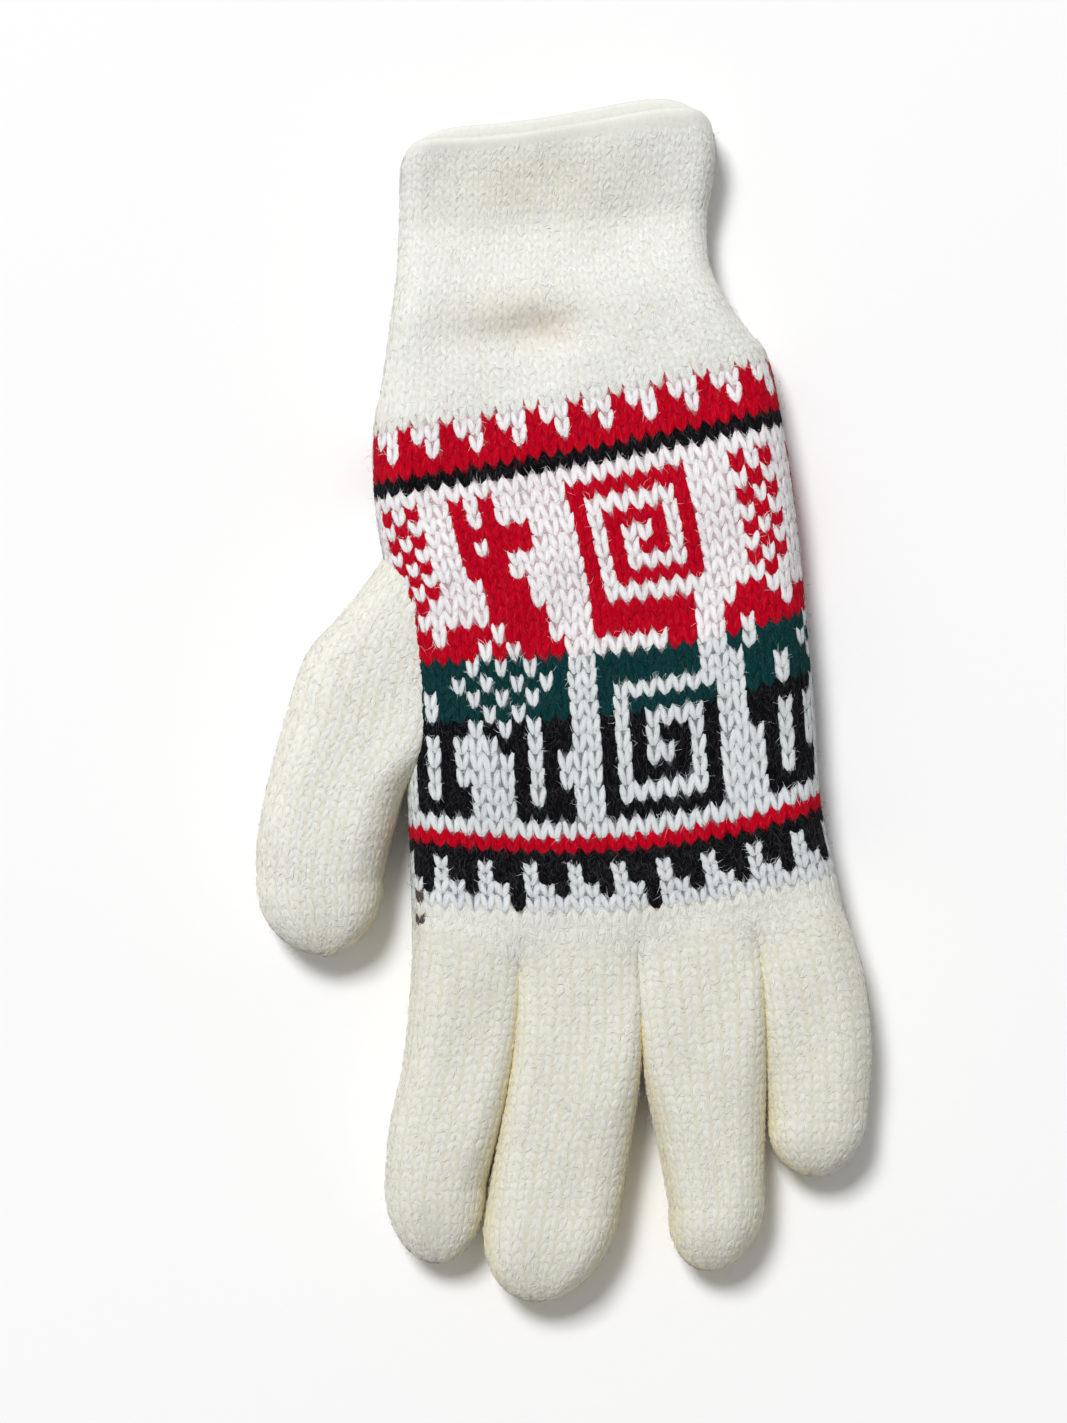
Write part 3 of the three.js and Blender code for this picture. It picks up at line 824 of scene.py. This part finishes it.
def lights():
    """A square soft light that looks at the middle of the glove, in a studio with pale walls."""
    world = bpy.data.worlds.new("studio")
    world.use_nodes = True
    tree = world.node_tree
    fill(tree, tree.nodes["Background"], Color=(1, 1, 1, 1), Strength=STUDIO_GLOW)
    bpy.context.scene.world = world
    lamp = bpy.data.lights.new("key", "AREA")
    lamp.size = KEY_SIZE
    lamp.energy = KEY_POWER
    key = add_object("key", lamp)
    key.location = KEY_PLACE
    key.rotation_mode = "QUATERNION"
    key.rotation_quaternion = (-key.location.normalized()).to_track_quat("-Z", "Y")
    bpy.context.scene.view_settings.view_transform = "Standard"


def node(tree, kind, output, setting=None, **values):
    """An output of a new node, with one setting if it needs one, and its inputs filled."""
    made = tree.nodes.new("ShaderNode" + kind)
    if setting:
        setattr(made, *setting)
    fill(tree, made, **values)
    return made.outputs[output]


def wool_material(name, sheen, low, high, streaks, relief):
    """Spun wool: the yarn's own colour between a low and a high tone, in streaks that follow its
    fibres, with paler fibres in it and a fuzz on top."""
    material = bpy.data.materials.new(name)
    material.use_nodes = True
    tree = material.node_tree
    colour = node(tree, "Attribute", "Color", ("attribute_name", "wool_colour"))
    strand = node(tree, "Attribute", "Vector", ("attribute_name", "strand"))
    place = node(tree, "TexCoord", "Object")
    add = ("operation", "MULTIPLY_ADD")

    fibre = node(tree, "TexNoise", "Fac", Vector=strand, Scale=1, Detail=3)
    felt = node(tree, "TexNoise", "Fac", Vector=place, Scale=FELT_SCALE, Detail=2)
    both = node(tree, "Math", "Value", add, _0=felt, _1=0.5, _2=fibre)
    tone = node(
        tree, "MapRange", "Result", Value=both, From_Min=0.5, From_Max=1.0, To_Min=low, To_Max=high
    )
    toned = node(tree, "VectorMath", "Vector", ("operation", "SCALE"), _0=colour, Scale=tone)

    fine = node(tree, "TexNoise", "Fac", Vector=strand, Scale=2, Detail=1)
    lines = node(
        tree, "MapRange", "Result", Value=fine, From_Min=0.56, From_Max=0.68, To_Min=0, To_Max=streaks
    )
    pale = node(tree, "VectorMath", "Vector", add, _0=toned, _1=[0.85] * 3, _2=[0.06] * 3)
    mixed = node(tree, "Mix", "Result", ("data_type", "RGBA"), Factor=lines, A=toned, B=pale)
    bump = node(tree, "Bump", "Normal", Height=both, Strength=relief, Distance=FELT_HEIGHT)
    fill(
        tree, tree.nodes["Principled BSDF"], Base_Color=mixed, Normal=bump, Roughness=0.95,
        Specular_IOR_Level=0.04, Sheen_Weight=sheen, Sheen_Roughness=0.5,
    )
    return material


def place_piece(piece, look, nodes):
    """Gives a piece its material, attaches it to the body, and hides the CAD nodes it stands for."""
    piece.data.materials.append(MATERIALS[look])
    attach(piece, BODY)
    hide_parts(*nodes)


def ring_mesh(rings, ends=None):
    """A closed surface from rings of points. The last ring joins the first, unless two
    end points close it."""
    count, sides = rings.shape[:2]
    points = rings.reshape(-1, 3)
    i = np.arange(sides)
    j = (i + 1) % sides
    made = []
    for k in range(count - 1 if ends is not None else count):
        a, b = k * sides, (k + 1) % count * sides
        made += [(a + i, a + j, b + j), (a + i, b + j, b + i)]
    if ends is not None:
        points = np.concatenate([points, ends])
        a = (count - 1) * sides
        far = np.full(sides, len(points))
        made += [(j, i, far - 2), (a + i, a + j, far - 1)]
    faces = np.concatenate([np.stack(corners, axis=1) for corners in made])
    p = points[faces]
    volume = np.einsum("ij,ij->i", p[:, 0], np.cross(p[:, 1], p[:, 2])).sum()
    return points, faces if volume > 0 else faces[:, ::-1]


def wave(turns):
    """A wave between 0 and 1 that is highest half way between whole numbers."""
    return 0.5 - 0.5 * np.cos(2 * math.pi * turns)


def rings_at(knit, profile, columns, relief=PLAIN_RELIEF):
    """A ring of points of a tube for each row and depth of a profile, with its wales as ribs and
    a hollow in each stitch, and how much of the painted hole shade each point takes."""
    wales = wave(columns - knit.edge(0.0))
    rib, hollow = relief
    made, share = [], []
    for row, depth in profile:
        dip = (rib * (1 - wales) + hollow * wales * wave(row)) * (row > FIRST_RELIEF)
        made.append(knit.point(np.full(len(columns), float(row)), columns, depth + dip))
        share.append(wales * wave(row) * (row > FIRST_RELIEF))
    return np.array(made), np.concatenate(share)[:, None]


def nearest(points, known):
    """The numbers of the known points that lie nearest to points."""
    tree = KDTree(len(known))
    for i, point in enumerate(known):
        tree.insert(point, i)
    tree.balance()
    return [tree.find(point)[1] for point in points]


def filled(knit, rows, depth):
    """The space inside a tube between its rows, from a depth inwards, as a closed surface."""
    rings, _ = rings_at(knit, [(row, depth) for row in rows], knit.columns(1.0))
    return ring_mesh(rings, [rings[0].mean(axis=0), rings[-1].mean(axis=0)])


def cut_away(whole, cutter):
    """What a closed surface leaves outside another one, as points and triangles."""
    made = []
    for points, faces in (whole, cutter):
        mesh = bpy.data.meshes.new("cut")
        mesh.from_pydata(points.tolist(), [], faces.tolist())
        made.append(add_object("cut", mesh))
    cut = made[0].modifiers.new("cut", "BOOLEAN")
    cut.operation = "DIFFERENCE"
    cut.solver = "EXACT"
    cut.object = made[1]
    left = made[0].evaluated_get(bpy.context.evaluated_depsgraph_get()).to_mesh()
    left.calc_loop_triangles()
    points = taken(left.vertices, "co")
    faces = taken(left.loop_triangles, "vertices", np.int32)
    for piece in made:
        mesh = piece.data
        bpy.data.objects.remove(piece)
        bpy.data.meshes.remove(mesh)
    return points, faces


class Shell:
    """Points on the outside of a tube, which tell how others lie to it."""

    def __init__(self, knit, rows):
        self.points, self.normals, _ = knit.lie(*crossed(rows, knit.columns()))

    def normals_at(self, points):
        return self.normals[nearest(points, self.points)]

    def depth(self, points):
        """How deep points lie under it."""
        near = nearest(points, self.points)
        return -np.einsum("ij,ij->i", points - self.points[near], self.normals[near])


def fibres(knit, row, column, wools, kind, standing, rng, hidden=None):
    """Fine fibres on the knitting, each a grain with one bend, as legs() gives them. Some lie on
    the yarn, and others stand off it, but none reach into the floor."""
    per_stitch, long, thick, stray, rise = kind
    count = round(len(row) * per_stitch)
    pick = rng.integers(0, len(row), count)
    r = row[pick] + rng.uniform(0, 1, count)
    half = rng.uniform(0, 1, count)
    c = column[pick] + half
    at, normal, _ = knit.lie(r, c)
    if hidden is not None:
        seen = hidden.depth(at) < FIBRES_HIDE
        pick, r, c, half, at, normal = [v[seen] for v in (pick, r, c, half, at, normal)]
        count = len(pick)
    along = unit(knit.point(r + 0.3, c) - at)
    over = unit(np.cross(normal, along))
    turn = np.where(half < 0.5, LEG_SLANT, -LEG_SLANT) + rng.normal(0, stray, count)
    bend = turn + rng.normal(0, stray * 0.6, count)

    def heading(angle):
        return along * np.cos(angle)[:, None] + over * np.sin(angle)[:, None]

    length = rng.normal(long, long * FIBRE_SPREAD, count)
    length = np.clip(length, long * SHORTEST, long * LONGEST)[:, None]
    if standing:
        start = at - normal * FIBRE_ROOT
        slope = normal * rng.uniform(*LOWER_SLOPES, (count, 1))
        middle = start + (heading(turn) + slope) * length * 0.4
        slope = normal * rng.uniform(*UPPER_SLOPES, (count, 1))
        tip = middle + (heading(bend) + slope) * length * 0.5
    else:
        start = at + normal * (rise - FIBRE_ENDS) - heading(turn) * length * 0.5
        middle = at + normal * (rise + rng.uniform(-0.1, 0.03, (count, 1)))
        tip = at + normal * (rise - rng.uniform(-0.02, 0.2, (count, 1)))
        tip = tip + heading(bend) * length * 0.5
    side = unit(np.cross(tip - start, normal))
    other = unit(np.cross(side, tip - start))
    reach = thick / 2 * rng.uniform(*FIBRE_GIRTHS, (count, 1))
    ring = [
        middle + reach * (side * math.cos(angle) + other * math.sin(angle))
        for angle in np.arange(3) * 2 * math.pi / 3
    ]
    points = np.stack([start, *ring, tip], axis=1)
    # Painted highlight: each fibre takes its wool's paler loose colour
    colours = shades(wools, LOOSE_PAINTED_HIGHLIGHT)[pick] * rng.uniform(*FIBRE_TONES, (count, 1))
    colours = np.repeat(colours[:, None], points.shape[1], axis=1)
    lay = np.repeat(normal[:, None], points.shape[1], axis=1)
    clear = points[..., 2].min(axis=1) > FLOOR_LEVEL
    return [values[clear] for values in (points, colours, np.zeros(points.shape), lay)]


def add_fibres(name, look, nodes, kinds, places, rng):
    """A mesh of all the fibres on one or more tubes. Each place is a tube's knit, the rows,
    columns and wools of its stitches, and the shell that hides some of them."""
    made = [
        fibres(knit, row, column, wools, kind, standing, rng, hidden)
        for knit, row, column, wools, hidden in places
        for kind, standing in zip(kinds, (False, True))
    ]
    made = [np.concatenate(parts) for parts in zip(*made)]
    piece = add_grains(name, FIBRE, FIBRE_SOFTNESS, *made)
    place_piece(piece, look, nodes)


def with_painted_side_shade(colours, normal, weight):
    """Colours of plain wool with a painted warm shade where it turns to the side."""
    share = (np.clip(1 - np.maximum(normal[:, 2], 0), 0, 1) ** PAINTED_SHADE_CURVE * weight)[:, None]
    return colours * (1 - share) + colours * linear(PAINTED_SIDE_SHADE) / linear(WOOLS["ivory"][SEEN]) * share


def painted_side_shade_share(name, normal):
    """How much of the painted warm shade each place on a tube takes: more where its neighbour is
    near.
    """
    left, right = NEAR_WOOL[name]
    near = np.where(normal[:, 0] < 0, left, right)
    return EDGE_PAINTED_SHADE + (GAP_PAINTED_SHADE - EDGE_PAINTED_SHADE) * near


def closed_wool(name):
    return "pale ivory" if name == "thumb" else "ivory"


def with_painted_hole_shade(wool, share):
    """The colours of a wall of plain wool, which takes a share of the painted shade of its holes."""
    return linear(WOOLS[wool][CREVICE_AND_PAINTED_SHADE]) * (1 - share) + linear(PAINTED_HOLE_SHADE) * share


def wall_piece(name, look, surface, colours):
    """A wall as a piece, with a fine grain laid over it from above."""
    points, faces = surface
    piece = add_mesh(name + "_wall", points, faces, colours, points * WALL_GRAIN)
    place_piece(piece, look, [name])


def cuff_wall(sleeve):
    """The wall of the cuff, out and in, which turns over at the rim."""
    outer = [*CUFF_JOIN, *((row, PLAIN_BACK) for row in np.arange(CUFF_ROWS - 0.5, 1.9, -0.5))]
    last = -ROLL_ROWS - CUFF_ROWS
    rim = [(row, RIM_BACK) for row in [1, *np.arange(0.5, -ROLL_ROWS - 0.6, -0.5)]]
    inner = [(row, RIM_BACK) for row in np.arange(-ROLL_ROWS - 1, last - 0.1, -1)]
    rings, share = rings_at(sleeve, outer + rim + inner, sleeve.columns())
    # Painted shade in the holes of the wall
    colours = with_painted_hole_shade("off-white", share)
    wall_piece("cuff", "off_white_wool", ring_mesh(rings), colours)


def hand_wall(sleeve, thumb):
    """The wall of the hand, with the hole that the thumb opens into."""
    columns = FIRST_COLUMN + np.arange(0, WALES, 0.5)
    outer_rows = np.arange(CUFF_ROWS + 1.0, HAND_END[0][0], 0.5)
    profile = [
        (row, PATTERN_BACK if FIRST_PATTERN_ROW < row < IVORY_ROW else PLAIN_BACK)
        for row in outer_rows
    ]
    profile = [*HAND_JOIN, *profile, *HAND_END]
    profile += [(row, PATTERN_WALL) for row in [HAND_END[-1][0], *outer_rows[::-4], CUFF_ROWS]]
    rings, _ = rings_at(sleeve, profile, columns, PATTERN_RELIEF)
    rows = np.linspace(0, thumb.tube.rows[-1], THUMB_RINGS)
    points, faces = cut_away(ring_mesh(rings), filled(thumb, rows, PLAIN_WALL))
    rows, columns = crossed(outer_rows, columns)
    known = sleeve.point(rows, columns, PATTERN_BACK)
    colours = wall_colours(rows, columns)[nearest(points, known)]
    wall_piece("hand", "patterned_wool", (points, faces), colours)


def closed_wall(name, knit, sleeve):
    """The wall of a finger or the thumb, out and in, with its closed tip."""
    end = knit.tube.rows[-1] + knit.tube.tip_rows
    outer_rows = [*np.arange(0, end - 1, 0.5), end - 0.8, end - 0.35]
    inner_rows = [end - 0.5, *np.arange(math.floor(end) - 1, -1, -2), 0]
    profile = [(row, PLAIN_WALL) for row in inner_rows]
    profile += FINGER_JOIN if name != "thumb" else ()
    profile += [(row, PLAIN_BACK) for row in outer_rows]
    rings, share = rings_at(knit, profile, knit.columns())
    surface = ring_mesh(rings, [rings[0].mean(axis=0), rings[-1].mean(axis=0)])
    if name == "thumb":
        surface = cut_away(surface, filled(sleeve, np.arange(THUMB_ROW, LAST_ROW + 1), THUMB_ROOT))
    points = surface[0]
    share = share[nearest(points, rings.reshape(-1, 3))]
    normals = Shell(knit, np.arange(0, end)).normals_at(points)
    # Painted shade: in the wall's holes, and warmer on the sides of the tube
    colours = with_painted_side_shade(with_painted_hole_shade(closed_wool(name), share), normals, painted_side_shade_share(name, normals))
    wall_piece(name, "ivory_wool", surface, colours)


def knitting(name, look, knit, stitches, patterned, slim, wools, rng, tube):
    """The stitches of a stretch of knitting as a piece."""
    row, column, span = stitches
    _, normal, _ = knit.lie(row + 0.5, column + span / 2)
    plain = 1 - patterned
    # Painted shade: the sides of plain tubes turn warmer, and the crevice colours are painted shade
    weight = painted_side_shade_share(tube, normal) * plain
    seen = with_painted_side_shade(shades(wools, SEEN), normal, weight)
    deep = with_painted_side_shade(shades(wools, CREVICE_AND_PAINTED_SHADE), normal, weight)
    depth = PATTERN_YARN * patterned + PLAIN_YARN * plain + JOIN_SINKS * (row < 0)
    if tube == "sleeve":
        depth = np.where(row < 1, RIM_YARN, depth)
        depth += JOIN_SINKS * np.maximum(0, row - LAST_ROW + 3)
    made = legs(knit, row, column, span, patterned, slim, depth, seen, deep, rng)
    soft = PATTERN_SOFTNESS if tube == "sleeve" and patterned.any() else PLAIN_SOFTNESS
    place_piece(add_grains(name + "_stitches", LEG, soft, *made), look, [name])


def uncovered(knit, stitches, shell, limit):
    """Those stitches that lie less deep in a shell than a limit. Without a shell, all of them."""
    if shell is None:
        return stitches
    row, column, span = stitches
    at, _, _ = knit.lie(row + 0.5, column + span / 2)
    kept = shell.depth(at) < limit
    return [values[kept] for values in stitches]


def slimness(rows, columns, wools):
    """How slim each stitch is: colour on all its sides presses a white one."""
    around = ((-1, 0), (1, 0), (0, -1), (0, 1))
    made = []
    for row, column, wool in zip(rows, columns, wools):
        beside = [chart(row + down, column + over) in "RGK" for down, over in around]
        made.append(PRESSED if wool in ".:" and all(beside) else 1.0)
    return np.array(made)


def sleeve_knitting(name, look, sleeve, first, last, rng, hidden=None):
    """The stitches of a stretch of the sleeve, and where fibres may stand on it."""
    stitches = uncovered(sleeve, sleeve_stitches(first, last), hidden, THUMB_HIDES)
    rows, columns, _ = stitches
    wools = [chart(row, column) for row, column in zip(rows, columns)]
    patterned = np.array([wool in ".:RGK" for wool in wools], float)
    slim = slimness(rows, columns, wools)
    knitting(name, look, sleeve, stitches, patterned, slim, wools, rng, "sleeve")
    outside = rows >= 0
    wools = [wool for wool, keep in zip(wools, outside) if keep]
    return sleeve, rows[outside], columns[outside], wools, hidden


def closed_knitting(name, knit, rng, hidden=None):
    """The stitches of a finger or the thumb, and where fibres may stand on it."""
    stitches = uncovered(knit, closed_stitches(knit), hidden, HAND_HIDES)
    rows, columns, _ = stitches
    wools = [closed_wool(name)] * len(rows)
    zero = np.zeros(len(rows))
    knitting(name, "ivory_wool", knit, stitches, zero, zero + 1, wools, rng, name)
    return knit, rows, columns, wools, hidden


def glove():
    """All the pieces: walls, stitches and fibres."""
    sleeve = make_sleeve()
    knits = {name: make_closed(*facts) for name, facts in CLOSED.items()}
    thumb = knits["thumb"]
    hand_shell = Shell(sleeve, np.arange(THUMB_ROW, LAST_ROW + 0.1, 0.5))
    thumb_shell = Shell(thumb, np.arange(0, thumb.tube.rows[-1], 0.5))

    cuff_wall(sleeve)
    hand_wall(sleeve, thumb)
    for name, knit in knits.items():
        closed_wall(name, knit, sleeve)

    rng = np.random.default_rng(7)
    first = -ROLL_ROWS - INNER_ROWS
    cuff = sleeve_knitting("cuff", "off_white_wool", sleeve, first, CUFF_ROWS, rng)
    look = "patterned_wool"
    hand = sleeve_knitting("hand", look, sleeve, CUFF_ROWS, LAST_ROW, rng, thumb_shell)
    fingers = [
        closed_knitting(name, knit, rng, hand_shell if knit is thumb else None)
        for name, knit in knits.items()
    ]
    add_fibres("cuff_fibres", "off_white_wool", ["cuff"], CUFF_FIBRES, [cuff], rng)
    add_fibres("hand_fibres", look, ["hand"], PATTERN_FIBRES, [hand], rng)
    add_fibres("finger_fibres", "ivory_wool", list(CLOSED), FINGER_FIBRES, fingers, rng)


MATERIALS = {look: wool_material(look, *facts) for look, facts in LOOKS.items()}

camera()
floor()
lights()
glove()
